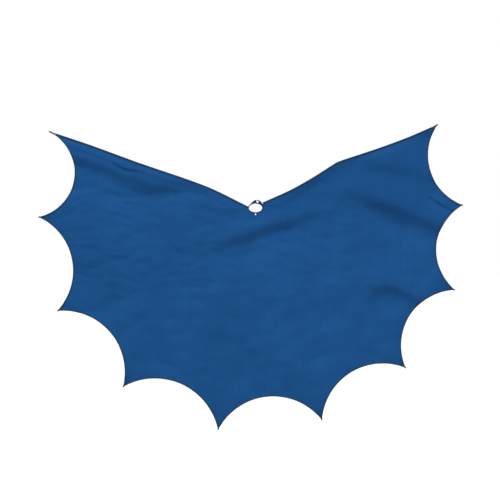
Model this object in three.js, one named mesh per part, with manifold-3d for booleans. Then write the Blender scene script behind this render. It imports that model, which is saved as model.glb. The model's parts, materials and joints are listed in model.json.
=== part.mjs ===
// A one-piece scalloped cape for a one-sixth scale figure, spread flat with its wired wings out.
// Lengths are in millimetres. +X runs across the wings, +Z is up, and the wearer faces +Y, so the
// outside of the cape faces -Y. The origin is the middle of the neck opening.
// The cape is one cut of cloth. It is held here as five panels, because it folds at four upright
// lines, and each top hem and its soft wire are three lengths for the same reason.
import * as THREE from 'three';
import { mergeVertices } from 'three/addons/utils/BufferGeometryUtils.js';
import Module from 'manifold-3d';

const wasm = await Module();
wasm.setup();

// ---- the whole cape ----
const span = 635; // across the widest hem points
const drop = 333; // from the neck down to the lowest hem point
const rise = 126; // from the neck up to the higher wing corner
const clothThickness = 1; // the panels, as thick as soft folded cloth stands
const innerFold = 45; // from the middle to the lines where the wings swing
const outerFold = 150; // from the middle to the lines where the wing tips curl

// ---- edges ----
const edgingWidth = 1.5; // the rolled edge round the scallops
const edgingThickness = 1.6;
const hemWidth = 9; // the cloth turned over along each top edge
const hemThickness = 1.2;
const wireDiameter = 1;
const channelWall = 0.6; // cloth round the wire's channel
const capLength = 11; // the sleeve on each wire's outer end
const capWall = 0.4;

// ---- neck ----
const neckWidth = 20;
const neckHeight = 12.5;
const bindingWidth = 1.6;
const bindingThickness = 1.8;
const cornerReach = 2.9; // from the side of the opening to where a top edge ends
const leftCornerUp = 3;
const rightCornerUp = 9;
const tabRise = 5.3; // the width of the throat tab at its middle
const tabFlare = 3; // how far the tab's outline spreads past the side of the opening
const tabThickness = 0.8;
const tabHingeInset = 1.5; // from the left side of the opening in to where the loose tab bends
const tabEndInset = 1; // from the right side of the opening in to the loose tab's end
const tabBaseReach = 3; // from the left side of the opening out to the end of the tab's base

// ---- snap and eyelet ----
const snapAcross = 3;
const snapDiameter = 3.2;
const socketDiameter = 4;
const socketHeight = 0.9;
const studHeadDiameter = 1.5;
const studHeadHeight = 1;
const flangeThickness = 0.4;
const domeHeight = 1;
const shankDiameter = 1;
const eyeletDiameter = 2.4;
const eyeletBore = 1;
const eyeletBarrel = 1.6;
const eyeletWeb = 0.3; // cloth left between the neck binding and the eyelet's hole

// ---- clearances ----
const fitGap = 0.3; // between pieces that touch
const panelGap = 0.6; // from a fold line to a panel's edge
const edgingGap = 1; // from a fold line to the end of the edging
const hemGap = 1.3; // from a fold line to the end of a hem
const tabGap = 0.7; // from the tab's hinge line to either end

const roundSides = 16;
const wireSides = 10;
const wireSteps = 22;
const scallopSides = 96;
const far = 2000; // past every side of the cape

// The hem points, from the left wing corner round to the right one: [across, up, depth]. Across is a
// share of half the span, up is a share of the rise or the drop, and depth is how deep the scallop
// from this point to the next one is, as a share of the distance between them.
const hemPoints = [
  [-0.976, 0.917, 0.35],
  [-1.021, -0.041, 0.255],
  [-0.938, -0.464, 0.262],
  [-0.626, -0.806, 0.256],
  [-0.177, -1.0, 0.273],
  [0.314, -0.955, 0.256],
  [0.711, -0.721, 0.268],
  [0.943, -0.369, 0.262],
  [0.979, 0.036, 0.25],
  [0.862, 1.0, 0],
].map(([across, up, depth]) => ({ point: place(across, up), depth }));

// Where a point lies, from its shares of the half span and of the rise or the drop.
function place(across, up) {
  return new THREE.Vector2(across * span / 2, up * (up > 0 ? rise : drop));
}

// The two top edges, from the neck out to the wing corner. The right one has a kink in its wire.
const leftCorner = new THREE.Vector2(-neckWidth / 2 - cornerReach, leftCornerUp);
const rightCorner = new THREE.Vector2(neckWidth / 2 + cornerReach, rightCornerUp);
const topEdges = {
  left: edgeCurve([leftCorner, place(-0.206, 0.2295), place(-0.303, 0.3245), place(-0.56, 0.5475),
    place(-0.78, 0.751), hemPoints[0].point]),
  right: edgeCurve([rightCorner, place(0.17, 0.2205), place(0.276, 0.372), place(0.36, 0.507),
    place(0.386, 0.546), place(0.41, 0.57), place(0.584, 0.7165), place(0.724, 0.848),
    hemPoints[9].point]),
};
const channelDiameter = wireDiameter + 2 * fitGap;
const sleeveDiameter = channelDiameter + 2 * channelWall;
const wireInset = sleeveDiameter / 2; // from the top edge to the middle of the wire
const inward = { left: -1, right: 1 }; // which side of an edge's direction the cloth is on

// ---- solids ----

function solidOf(geometry) {
  const bare = geometry.index ? geometry.clone() : geometry;
  bare.deleteAttribute('normal');
  bare.deleteAttribute('uv');
  const merged = mergeVertices(bare, 1e-5);
  const vertProperties = new Float32Array(merged.attributes.position.array);
  const triVerts = new Uint32Array(merged.index.array);
  return new wasm.Manifold(new wasm.Mesh({ numProp: 3, vertProperties, triVerts }));
}

function geometryOf(solid) {
  const mesh = solid.getMesh();
  const geometry = new THREE.BufferGeometry();
  geometry.setAttribute('position', new THREE.BufferAttribute(mesh.vertProperties, 3));
  geometry.setIndex(new THREE.BufferAttribute(mesh.triVerts, 1));
  geometry.computeVertexNormals();
  return geometry;
}

// A flat plate of an outline drawn across and up, centred on middle along Y.
function plate(outline, thickness, middle = 0) {
  const geometry = new THREE.ExtrudeGeometry(outline, { depth: thickness, bevelEnabled: false });
  geometry.rotateX(Math.PI / 2);
  geometry.translate(0, middle + thickness / 2, 0);
  return solidOf(geometry);
}

// Everything between two upright planes.
function slab(from, to) {
  const geometry = new THREE.BoxGeometry(to - from, far, far);
  geometry.translate((from + to) / 2, 0, 0);
  return solidOf(geometry);
}

// A post along Y.
function post(across, up, diameter, length, sides = roundSides) {
  const geometry = new THREE.CylinderGeometry(diameter / 2, diameter / 2, length, sides);
  geometry.translate(across, 0, up);
  return solidOf(geometry);
}

// A solid turned about Y from a profile of [radius, y] that runs towards +Y along its outside.
function turned(profile, across, up) {
  const points = profile.map(([radius, y]) => new THREE.Vector2(radius, y));
  const geometry = new THREE.LatheGeometry(points, roundSides);
  geometry.translate(across, 0, up);
  return solidOf(geometry);
}

function tube(curve, diameter) {
  const section = new THREE.Shape();
  for (let side = 0; side < wireSides; side += 1) {
    const angle = 2 * Math.PI * side / wireSides;
    const x = diameter / 2 * Math.cos(angle);
    const y = diameter / 2 * Math.sin(angle);
    if (side === 0) section.moveTo(x, y);
    else section.lineTo(x, y);
  }
  const options = { steps: wireSteps, extrudePath: curve, bevelEnabled: false };
  return solidOf(new THREE.ExtrudeGeometry(section, options));
}

// ---- the outline ----

function edgeCurve(points) {
  const inSpace = points.map((point) => new THREE.Vector3(point.x, 0, point.y));
  return new THREE.CatmullRomCurve3(inSpace, false, 'centripetal');
}

// Points along a top edge, moved into the cloth by a distance. Overrun adds one more point at the
// outer end, straight on past the wing corner, and underrun adds one at the neck end.
function alongEdge(side, distance, overrun = 0, underrun = 0) {
  const count = 20;
  const curve = topEdges[side];
  const points = [];
  for (let step = 0; step <= count; step += 1) {
    const at = curve.getPointAt(step / count);
    const way = curve.getTangentAt(step / count);
    const across = new THREE.Vector3(-way.z, 0, way.x).multiplyScalar(-inward[side] * distance);
    points.push(at.add(across));
  }
  if (overrun) {
    const end = points[count].clone().addScaledVector(curve.getTangentAt(1), overrun);
    points.push(end);
  }
  if (underrun) {
    const start = points[0].clone().addScaledVector(curve.getTangentAt(0), -underrun);
    points.unshift(start);
  }
  return points;
}

// The circle that a scallop is cut to: it passes through both hem points and lies outside the cloth.
function scallopCircle(index) {
  const { point: from, depth } = hemPoints[index];
  const to = hemPoints[index + 1].point;
  const chord = from.distanceTo(to);
  const height = depth * chord;
  const radius = (chord * chord / 4 + height * height) / (2 * height);
  const along = to.clone().sub(from).divideScalar(chord);
  const intoCloth = new THREE.Vector2(-along.y, along.x);
  const centre = from.clone().add(to).divideScalar(2).addScaledVector(intoCloth, height - radius);
  return { centre, radius, middle: intoCloth.angle(), half: Math.asin(chord / 2 / radius) };
}

function scallopPoints(index) {
  const count = 22;
  const { centre, radius, middle, half } = scallopCircle(index);
  const points = [hemPoints[index].point];
  for (let step = 1; step < count; step += 1) {
    const angle = middle + half * (1 - 2 * step / count);
    points.push(new THREE.Vector2(Math.cos(angle), Math.sin(angle)).multiplyScalar(radius).add(centre));
  }
  return points;
}

function ellipsePoint(width, height, angle) {
  return new THREE.Vector2(width / 2 * Math.cos(angle), height / 2 * Math.sin(angle));
}

// A band between two ellipses round the neck, from one angle to another in degrees.
function bandOutline(inner, outer, fromDegrees, toDegrees) {
  const count = 28;
  const from = THREE.MathUtils.degToRad(fromDegrees);
  const to = THREE.MathUtils.degToRad(toDegrees);
  const points = [];
  for (let step = 0; step <= count; step += 1) {
    points.push(ellipsePoint(outer[0], outer[1], from + (to - from) * step / count));
  }
  for (let step = count; step >= 0; step -= 1) {
    points.push(ellipsePoint(inner[0], inner[1], from + (to - from) * step / count));
  }
  return new THREE.Shape(points);
}

// A whole ellipse round the neck, to cut with.
function neckCutter(width, height) {
  const count = 36;
  const points = [];
  for (let step = 0; step < count; step += 1) {
    points.push(ellipsePoint(width, height, 2 * Math.PI * step / count));
  }
  return plate(new THREE.Shape(points), far);
}

// The opening, the binding round it, and the throat tab's outline above it, each [width, height].
const opening = [neckWidth, neckHeight];
const bindingOuter = opening.map((size) => size + 2 * bindingWidth);
const bindingCut = bindingOuter.map((size) => size + 2 * fitGap);
const tabInner = [neckWidth, neckHeight + 2 * fitGap];
const tabOuter = [neckWidth + 2 * tabFlare, tabInner[1] + 2 * tabRise];
const tabCut = tabOuter.map((size) => size + 2 * fitGap);
const tabHinge = -neckWidth / 2 + tabHingeInset;
const tabEnd = neckWidth / 2 - tabEndInset;
const tabBaseEnd = -neckWidth / 2 - tabBaseReach;
const eyeletUp = -(bindingCut[1] / 2 + eyeletWeb + eyeletBarrel / 2 + fitGap);

// The whole flat cloth, less the room for the neck binding and the throat tab.
function wholeCloth(thickness) {
  const points = [];
  for (let index = 0; index < hemPoints.length - 1; index += 1) points.push(...scallopPoints(index));
  points.push(...alongEdge('right', 0).reverse().map((at) => new THREE.Vector2(at.x, at.z)));
  points.push(...alongEdge('left', 0).map((at) => new THREE.Vector2(at.x, at.z)));
  points.pop();
  const aboveNeck = plate(bandOutline([1, 1], tabCut, 0, 180), far);
  return plate(new THREE.Shape(points), thickness)
    .subtract(neckCutter(...bindingCut))
    .subtract(aboveNeck);
}

// Everything within a hem's width of a top edge, and past the cloth on its outer side, with a gap
// round it.
function hemZone(side, gap = 0) {
  const outside = alongEdge(side, -hemWidth, hemWidth * 4, gap);
  const inside = alongEdge(side, hemWidth + gap, hemWidth * 4, gap).reverse();
  const points = [...outside, ...inside].map((at) => new THREE.Vector2(at.x, at.z));
  if (side === 'right') points.reverse();
  return plate(new THREE.Shape(points), far);
}

// Everything within a distance of the scalloped edge.
function scallopZone(width) {
  const discs = [];
  for (let index = 0; index < hemPoints.length - 1; index += 1) {
    const { centre, radius } = scallopCircle(index);
    discs.push(post(centre.x, centre.y, 2 * (radius + width), far, scallopSides));
  }
  return wasm.Manifold.union(discs);
}

// ---- the pieces ----

const bothHemZones = (gap) => hemZone('left', gap).add(hemZone('right', gap));

// The five folding stretches of the cape, each from one fold line to the next.
const stretches = [
  { name: 'left_tip', from: -far / 2, to: -outerFold },
  { name: 'left_wing', from: -outerFold, to: -innerFold },
  { name: 'back', from: -innerFold, to: innerFold },
  { name: 'right_wing', from: innerFold, to: outerFold },
  { name: 'right_tip', from: outerFold, to: far / 2 },
];

function stretchSlab(name, gap) {
  const { from, to } = stretches.find((stretch) => stretch.name === name);
  return slab(from + gap, to - gap);
}

function clothSheet() {
  return wholeCloth(clothThickness)
    .subtract(scallopZone(edgingWidth + fitGap))
    .subtract(bothHemZones(fitGap))
    .subtract(post(0, eyeletUp, eyeletBarrel + 2 * fitGap, far));
}

function rolledEdge() {
  return wholeCloth(edgingThickness)
    .intersect(scallopZone(edgingWidth))
    .subtract(bothHemZones(fitGap));
}

function wireCurve(side) {
  return new THREE.CatmullRomCurve3(alongEdge(side, wireInset), false, 'centripetal');
}

// The stretch of a wire's curve between the neck and the wing corner, as a curve of its own. Overrun
// carries it straight on past both of its ends.
function wireStretch(side, fromNeck, fromCorner, overrun = 0) {
  const whole = wireCurve(side);
  const length = whole.getLength();
  const count = 24;
  const points = [];
  for (let step = 0; step <= count; step += 1) {
    const along = fromNeck + (length - fromNeck - fromCorner) * step / count;
    points.push(whole.getPointAt(along / length));
  }
  if (overrun) {
    points.unshift(points[0].clone().addScaledVector(whole.getTangentAt(0), -overrun));
    points.push(points[count + 1].clone().addScaledVector(whole.getTangentAt(1), overrun));
  }
  return new THREE.CatmullRomCurve3(points, false, 'centripetal');
}


// The cloth turned over the wire: a flat hem with a round channel along its edge.
function topHem(side) {
  const sleeve = tube(wireStretch(side, 0, capLength + fitGap), sleeveDiameter);
  const channel = tube(wireStretch(side, 0, capLength, hemWidth), channelDiameter);
  const clearOfCap = plate(capRoom(side), far);
  return wholeCloth(hemThickness)
    .intersect(hemZone(side))
    .subtract(clearOfCap)
    .add(sleeve.subtract(neckCutter(...bindingCut)))
    .subtract(channel);
}

// The outline of what lies beyond the start of a wire's cap.
function capRoom(side) {
  const whole = wireCurve(side);
  const start = whole.getPointAt(1 - (capLength + fitGap) / whole.getLength());
  const way = whole.getTangentAt(1);
  const corners = [[0, -1], [1, -1], [1, 1], [0, 1]].map(([on, over]) => new THREE.Vector2(
    start.x + hemWidth * 4 * (on * way.x - over * way.z),
    start.z + hemWidth * 4 * (on * way.z + over * way.x),
  ));
  return new THREE.Shape(corners);
}

function wingWire(side) {
  return tube(wireStretch(side, cornerReach, capLength / 3), wireDiameter);
}

// A closed sleeve pushed over a wire's end. It is turned about its own length, then laid along it.
function wireCap(side) {
  const outer = channelDiameter / 2 + capWall;
  const inner = channelDiameter / 2;
  const depth = capLength * 2 / 3 + fitGap;
  const round = outer / 2;
  const profile = [
    [0, capLength], [outer - round, capLength], [outer, capLength - round], [outer, 0], [inner, 0],
    [inner, depth], [0, depth],
  ].reverse().map(([radius, y]) => new THREE.Vector2(radius, y));
  const cap = new THREE.LatheGeometry(profile, roundSides);
  const whole = wireCurve(side);
  const base = whole.getPointAt(1 - capLength / whole.getLength());
  const way = whole.getPointAt(1).sub(base).normalize();
  cap.applyQuaternion(new THREE.Quaternion().setFromUnitVectors(new THREE.Vector3(0, 1, 0), way));
  cap.translate(base.x, base.y, base.z);
  return solidOf(cap);
}

// Bias binding round the opening, open at the throat where the tab closes it.
function neckBinding() {
  return plate(bandOutline(opening, bindingOuter, 165, 390), bindingThickness);
}

// ---- the throat closure, from the cloth outwards along -Y ----
const snapUp = (tabInner[1] + tabOuter[1]) / 4 * Math.sqrt(1 - (2 * snapAcross / tabOuter[0]) ** 2);
const underlapFront = -tabThickness / 2;
const studBack = underlapFront - fitGap;
const studFace = studBack - flangeThickness;
const socketBack = studFace - fitGap;
const socketFace = socketBack - socketHeight;
const tabBack = socketFace - fitGap;
const tabFace = tabBack - tabThickness;
const domeBack = tabFace - fitGap;
const shankRoom = shankDiameter + 2 * fitGap;

function underlapTab() {
  return plate(bandOutline(tabInner, tabOuter, 36, 95), tabThickness)
    .subtract(post(snapAcross, snapUp, shankRoom, far));
}

function closureTab() {
  const middle = (tabBack + tabFace) / 2;
  return plate(bandOutline(tabInner, tabOuter, 5, 175), tabThickness, middle)
    .intersect(slab(tabHinge + tabGap, tabEnd))
    .subtract(post(snapAcross, snapUp, shankRoom, far));
}

function tabBase() {
  const back = -bindingThickness / 2 - fitGap;
  return plate(bandOutline(tabInner, tabOuter, 110, 178), back - tabFace, (back + tabFace) / 2)
    .intersect(slab(tabBaseEnd, tabHinge - tabGap));
}

// Each of these is turned about the snap's own line.
function snapCap() {
  const shank = shankDiameter / 2;
  const rim = snapDiameter / 2;
  const tip = tabBack + flangeThickness / 2;
  const face = domeBack - domeHeight;
  return turned([
    [0, face], [rim * 0.6, face + domeHeight * 0.15], [rim, face + domeHeight * 0.6],
    [rim, domeBack], [shank, domeBack], [shank, tip], [0, tip],
  ], snapAcross, snapUp);
}

function snapSocket() {
  const hole = studHeadDiameter / 2 + fitGap;
  const rim = socketDiameter / 2;
  return turned([
    [hole, socketFace], [rim, socketFace], [rim, socketBack], [hole, socketBack], [hole, socketFace],
  ], snapAcross, snapUp);
}

function snapStud() {
  const head = studHeadDiameter / 2;
  const rim = snapDiameter / 2;
  const tip = studFace - studHeadHeight;
  return turned([
    [0, tip], [head * 0.7, tip], [head, tip + studHeadHeight * 0.35], [head * 0.8, studFace],
    [rim, studFace], [rim, studBack], [0, studBack],
  ], snapAcross, snapUp);
}

function snapRivet() {
  const shank = shankDiameter / 2;
  const rim = snapDiameter / 2;
  const front = tabThickness / 2 + fitGap;
  return turned([
    [0, underlapFront], [shank, underlapFront], [shank, front], [rim, front],
    [rim, front + flangeThickness], [0, front + flangeThickness],
  ], snapAcross, snapUp);
}

function backEyelet() {
  const bore = eyeletBore / 2;
  const barrel = eyeletBarrel / 2;
  const rim = eyeletDiameter / 2;
  const inner = clothThickness / 2 + fitGap;
  const outer = inner + flangeThickness;
  return turned([
    [bore, -outer], [rim, -outer], [rim, -inner], [barrel, -inner], [barrel, inner], [rim, inner],
    [rim, outer], [bore, outer], [bore, -outer],
  ], 0, eyeletUp);
}

// ---- the object ----

const finishes = {
  cloth: new THREE.MeshStandardMaterial({ color: 0x1f4f84, roughness: 0.75, metalness: 0 }),
  hem: new THREE.MeshStandardMaterial({ color: 0x1b4779, roughness: 0.78, metalness: 0 }),
  thread: new THREE.MeshStandardMaterial({ color: 0x142c4a, roughness: 0.6, metalness: 0 }),
  wire: new THREE.MeshStandardMaterial({ color: 0x8a8f94, roughness: 0.35, metalness: 1 }),
  sleeve: new THREE.MeshStandardMaterial({ color: 0x17191c, roughness: 0.5, metalness: 0 }),
  snap: new THREE.MeshStandardMaterial({ color: 0xb9c0c8, roughness: 0.25, metalness: 1 }),
};

const cape = new THREE.Group();

function addPiece(name, solid, finish) {
  const mesh = new THREE.Mesh(geometryOf(solid), finishes[finish]);
  mesh.name = name;
  cape.add(mesh);
}

const sheet = clothSheet();
const edge = rolledEdge();
for (const { name } of stretches) {
  addPiece(`${name}_panel`, sheet.intersect(stretchSlab(name, panelGap)), 'cloth');
  addPiece(`${name}_edging`, edge.intersect(stretchSlab(name, edgingGap)), 'thread');
}

for (const side of ['left', 'right']) {
  const hem = topHem(side);
  const wire = wingWire(side);
  for (const name of ['back', `${side}_wing`, `${side}_tip`]) {
    const where = name.replace(`${side}_`, '');
    addPiece(`${side}_hem_${where}`, hem.intersect(stretchSlab(name, hemGap)), 'hem');
    addPiece(`${side}_wire_${where}`, wire.intersect(stretchSlab(name, panelGap)), 'wire');
  }
  addPiece(`${side}_wire_cap`, wireCap(side), 'sleeve');
}

addPiece('neck_binding', neckBinding(), 'thread');
addPiece('underlap_tab', underlapTab(), 'cloth');
addPiece('tab_base', tabBase(), 'cloth');
addPiece('closure_tab', closureTab(), 'cloth');
addPiece('snap_cap', snapCap(), 'snap');
addPiece('snap_socket', snapSocket(), 'snap');
addPiece('snap_stud', snapStud(), 'snap');
addPiece('snap_rivet', snapRivet(), 'snap');
addPiece('back_eyelet', backEyelet(), 'snap');

export default cape;
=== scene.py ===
# %% [markdown]
# # A wired, scalloped cape for a one-sixth scale figure
#
# The real thing is one cut of thin blue cloth. Its lower edge is nine scallops that meet in ten
# points, and a soft wire runs in each turned-over top edge, so the wings keep the shape they are bent
# to. The neck opening is bound in navy tape and closed at the throat by a small strap with a snap.
#
# The lesson follows the order of the work: the cut, its folds, the sewing on it, the small hardware,
# then the light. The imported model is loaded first, because every piece is placed from it.

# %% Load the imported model
import json
import math

import bpy
import numpy as np
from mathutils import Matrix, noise
from mathutils import Vector
from mathutils.bvhtree import BVHTree
from mathutils.geometry import barycentric_transform
from mathutils.geometry import delaunay_2d_cdt
from mathutils.geometry import intersect_line_line_2d
from mathutils.kdtree import KDTree


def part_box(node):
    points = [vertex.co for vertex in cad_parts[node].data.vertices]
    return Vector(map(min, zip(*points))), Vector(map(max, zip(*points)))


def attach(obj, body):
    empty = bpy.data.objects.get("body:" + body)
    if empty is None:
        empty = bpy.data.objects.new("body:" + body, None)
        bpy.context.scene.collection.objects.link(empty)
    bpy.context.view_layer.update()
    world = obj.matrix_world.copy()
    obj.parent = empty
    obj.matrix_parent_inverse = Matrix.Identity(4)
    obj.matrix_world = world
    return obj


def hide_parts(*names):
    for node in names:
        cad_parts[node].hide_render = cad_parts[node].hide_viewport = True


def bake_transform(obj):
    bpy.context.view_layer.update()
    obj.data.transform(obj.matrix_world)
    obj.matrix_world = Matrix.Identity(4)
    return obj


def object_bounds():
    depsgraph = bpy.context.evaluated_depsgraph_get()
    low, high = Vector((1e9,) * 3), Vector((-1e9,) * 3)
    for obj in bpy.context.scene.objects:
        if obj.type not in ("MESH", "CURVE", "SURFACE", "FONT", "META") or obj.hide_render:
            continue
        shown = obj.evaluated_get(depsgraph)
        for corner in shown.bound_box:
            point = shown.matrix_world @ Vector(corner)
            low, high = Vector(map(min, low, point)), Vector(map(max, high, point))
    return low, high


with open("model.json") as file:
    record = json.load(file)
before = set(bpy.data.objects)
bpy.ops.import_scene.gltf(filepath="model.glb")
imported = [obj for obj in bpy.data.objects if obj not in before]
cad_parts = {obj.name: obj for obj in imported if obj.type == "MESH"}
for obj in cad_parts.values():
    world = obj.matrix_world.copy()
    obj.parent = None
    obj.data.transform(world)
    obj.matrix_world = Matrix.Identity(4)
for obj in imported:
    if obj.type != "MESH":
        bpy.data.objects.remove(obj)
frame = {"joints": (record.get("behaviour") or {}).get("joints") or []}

MM = 0.001
low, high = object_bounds()
joints = {joint["name"]: joint for joint in frame["joints"]}
print("model box in mm:", [round(side / MM) for side in high - low])

# %% [markdown]
# ## The camera
#
# A product shot of something flat is taken square on, from far away with a long lens, so that near and
# far parts keep the same scale. The picture is a little wider than the cape on both sides.

# %% Camera
PICTURE_WIDTH = 750 * MM
CAMERA_DISTANCE = 3.2
PICTURE_CENTRE = Vector((-8.25 * MM, 0, -63 * MM))

camera_data = bpy.data.cameras.new("camera")
camera_data.lens = camera_data.sensor_width * CAMERA_DISTANCE / PICTURE_WIDTH
camera = bpy.data.objects.new("camera", camera_data)
camera.location = PICTURE_CENTRE + Vector((0, -CAMERA_DISTANCE, 0))
camera.rotation_euler = (math.pi / 2, 0, 0)
bpy.context.scene.collection.objects.link(camera)
bpy.context.scene.camera = camera
print("lens in mm:", round(camera_data.lens))

# %% [markdown]
# ## The cut
#
# A pattern maker draws the cape as ten points round the neck and a depth for each scallop. Each point
# here is a share of half the span, and of the rise above the neck or the drop below it, so the same
# list serves any size. The scallops are arcs of circles. The top edges are smooth lines through a few
# points, and the right one has a kink where its wire was bent.

# %% Points of the cut: places as shares of the size, and each scallop's depth as a share of its width
HEM_POINTS = [
    (-0.976, 0.917, 0.35),
    (-1.021, -0.041, 0.255),
    (-0.938, -0.464, 0.262),
    (-0.626, -0.806, 0.256),
    (-0.177, -1.0, 0.273),
    (0.314, -0.955, 0.256),
    (0.711, -0.721, 0.268),
    (0.943, -0.369, 0.262),
    (0.979, 0.036, 0.25),
    (0.862, 1.0, 0),
]
LEFT_EDGE = [
    (-0.206, 0.2295), (-0.303, 0.3245), (-0.56, 0.5475), (-0.78, 0.751), (-0.976, 0.917),
]
RIGHT_EDGE = [
    (0.17, 0.2205), (0.276, 0.372), (0.36, 0.507), (0.386, 0.546), (0.41, 0.57),
    (0.584, 0.7165), (0.724, 0.848), (0.862, 1.0),
]
LEFT_CORNER = Vector((-12.9, 3)) * MM
RIGHT_CORNER = Vector((12.9, 9)) * MM
CUT_STEP = 2.4 * MM
TINY = 1e-9

shares_across = [across for across, up, depth in HEM_POINTS]
HALF_SPAN = (high.x - low.x) / (max(shares_across) - min(shares_across))
RISE = high.z
DROP = -low.z


def place(across, up):
    """The point at these shares of the cape's size, as (x, z) in metres."""
    return Vector((across * HALF_SPAN, up * (RISE if up > 0 else DROP)))


def smooth_line(points, step):
    """Points about a step apart on a smooth line through the given ones."""
    ends = [points[0] * 2 - points[1]] + list(points) + [points[-1] * 2 - points[-2]]
    line = []
    for p0, p1, p2, p3 in zip(ends, ends[1:], ends[2:], ends[3:]):
        gaps = [max((b - a).length, TINY) ** 0.5 for a, b in ((p0, p1), (p1, p2), (p2, p3))]
        leave = (p1 - p0) / gaps[0] - (p2 - p0) / (gaps[0] + gaps[1]) + (p2 - p1) / gaps[1]
        arrive = (p2 - p1) / gaps[1] - (p3 - p1) / (gaps[1] + gaps[2]) + (p3 - p2) / gaps[2]
        leave, arrive = leave * gaps[1], arrive * gaps[1]
        count = max(2, round((p2 - p1).length / step))
        for t in np.arange(count) / count:
            line.append(
                p1 * (2 * t**3 - 3 * t**2 + 1)
                + leave * (t**3 - 2 * t**2 + t)
                + p2 * (3 * t**2 - 2 * t**3)
                + arrive * (t**3 - t**2)
            )
    return line + [points[-1]]


def scallop(start, end, depth, step):
    """Points on the arc from one hem point to the next, without the last one."""
    chord = (end - start).length
    height = depth * chord
    radius = (chord**2 / 4 + height**2) / (2 * height)
    along = (end - start) / chord
    into_cloth = Vector((-along.y, along.x))
    centre = (start + end) / 2 + into_cloth * (height - radius)
    middle = math.atan2(into_cloth.y, into_cloth.x)
    half = math.asin(chord / 2 / radius)
    count = round(2 * half * radius / step)
    angles = [middle + half * (1 - 2 * k / count) for k in range(count)]
    return [centre + Vector((math.cos(a), math.sin(a))) * radius for a in angles]


def ellipse_arc(width, height, start, end, count):
    """Points on an ellipse round the neck, from one angle in degrees to another."""
    angles = np.radians(np.linspace(start, end, count))
    return [Vector((width / 2 * math.cos(a), height / 2 * math.sin(a))) for a in angles]


hem_corners = [place(across, up) for across, up, depth in HEM_POINTS]
scallops = [
    scallop(start, end, depth, CUT_STEP) + [end]
    for start, end, (across, up, depth) in zip(hem_corners, hem_corners[1:], HEM_POINTS)
]
hem_line = [point for arc in scallops for point in arc[:-1]] + [hem_corners[-1]]
left_line = smooth_line([LEFT_CORNER] + [place(*share) for share in LEFT_EDGE], CUT_STEP)
right_line = smooth_line([RIGHT_CORNER] + [place(*share) for share in RIGHT_EDGE], CUT_STEP)
print("hem points:", len(hem_line), "top edge points:", len(left_line) + len(right_line))

# %% [markdown]
# ## The folds
#
# Thin cloth that has lain folded in a packet keeps soft creases: one under each wire, one across the
# back below the neck, and a few short ones. Each is drawn as a line on the pattern, from left to right,
# as one would mark it with chalk. Across the line the cloth drops from a little in front to a little
# behind, so light from above leaves a shaded band along it. Three of them are sharp.

# %% Crease lines: drop and half width in mm, strength at both ends, then points as shares of the size
CREASES = [
    (13, 14, 1.4, 0.0,
     [(-0.876, 0.58), (-0.75, 0.49), (-0.592, 0.333), (-0.466, 0.242), (-0.33, 0.19)]),
    (4, 10, 0.9, 0.3, [(-0.869, 0.286), (-0.718, 0.234), (-0.576, 0.202), (-0.42, 0.2)]),
    (3, 7, 0.2, 1.0, [(-0.26, 0.01), (-0.135, -0.017), (-0.034, -0.006)]),
    (12, 13, 0.1, 0.05,
     [(-0.26, -0.222), (-0.135, -0.162), (-0.041, -0.129), (0.069, -0.096), (0.18, -0.062),
      (0.32, -0.03)]),
    (17, 17, 0.05, 1.1,
     [(0.41, 0.22), (0.51, 0.103), (0.636, -0.009), (0.746, -0.051), (0.885, -0.102)]),
    (5.5, 13, 0.1, 0.9, [(0.48, 0.54), (0.652, 0.452), (0.825, 0.353)]),
    (9, 12, 0.05, 1.1, [(0.53, -0.38), (0.652, -0.369), (0.775, -0.43)]),
    (2, 8, 0.2, 0.2, [(-0.60, -0.26), (-0.53, -0.232), (-0.45, -0.213)]),
    (3.2, 1.8, 0.1, 0.2, [(-0.68, 0.552), (-0.62, 0.472), (-0.55, 0.438)]),
    (2.4, 1.8, 0.1, 0.2, [(-0.62, 0.547), (-0.565, 0.503), (-0.52, 0.48)]),
    (2.8, 1.8, 0.1, 0.9, [(0.816, 0.143), (0.87, 0.05), (0.93, -0.012)]),
]
SHARP_BELOW = 3  # half width in mm under which a crease is sharp
FORWARD = 0.45  # share of the drop that stands in front
STEEPNESS = 3.2  # of the step across a crease
REACH = 4  # half widths from a crease to where it has died away
CHALK_STEP = 8 * MM


def chalk_line(shares, step):
    """A crease as it is drawn on the flat pattern."""
    return smooth_line([place(*share) for share in shares], step)


def distance_to_line(points, line):
    """Each point's distance to a line, on which side it is, and how far along, from 0 to 1."""
    nearest = np.full(len(points), math.inf)
    share = np.zeros(len(points))
    side = np.zeros(len(points))
    lengths = np.array([(b - a).length for a, b in zip(line, line[1:])])
    starts = np.concatenate(([0], np.cumsum(lengths)))
    for k, (a, b) in enumerate(zip(line, line[1:])):
        start, way = np.array(a), np.array(b - a)
        along = np.clip((points - start) @ way / (way @ way), 0, 1)
        gap = points - start - along[:, None] * way
        away = np.linalg.norm(gap, axis=1)
        closer = away < nearest
        nearest = np.where(closer, away, nearest)
        share = np.where(closer, (starts[k] + along * lengths[k]) / starts[-1], share)
        side = np.where(closer, np.sign(way[0] * gap[:, 1] - way[1] * gap[:, 0]), side)
    return nearest, side, share


def eased(t):
    """A step from 0 to 1 with level ends."""
    t = np.clip(t, 0, 1)
    return t * t * (3 - 2 * t)


def crease_height(points):
    """The step across each crease, from in front above it to behind below it."""
    height = np.zeros(len(points))
    for drop, half_width, first, last, shares in CREASES:
        away, side, along = distance_to_line(points, chalk_line(shares, CHALK_STEP))
        middle = np.sin(np.pi * np.clip(along, 0, 1)) ** 0.6
        strength = np.maximum(middle, first * (1 - along) ** 1.5 + last * along**1.5)
        turn = away / (half_width * MM) * np.where(side < 0, -1, 1)
        near = np.exp(-((away / (half_width * REACH * MM)) ** 2))
        below = 1 / (1 + np.exp(np.clip(STEEPNESS * turn, -30, 30)))
        height += drop * MM * strength * near * (FORWARD - below)
    return height


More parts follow.
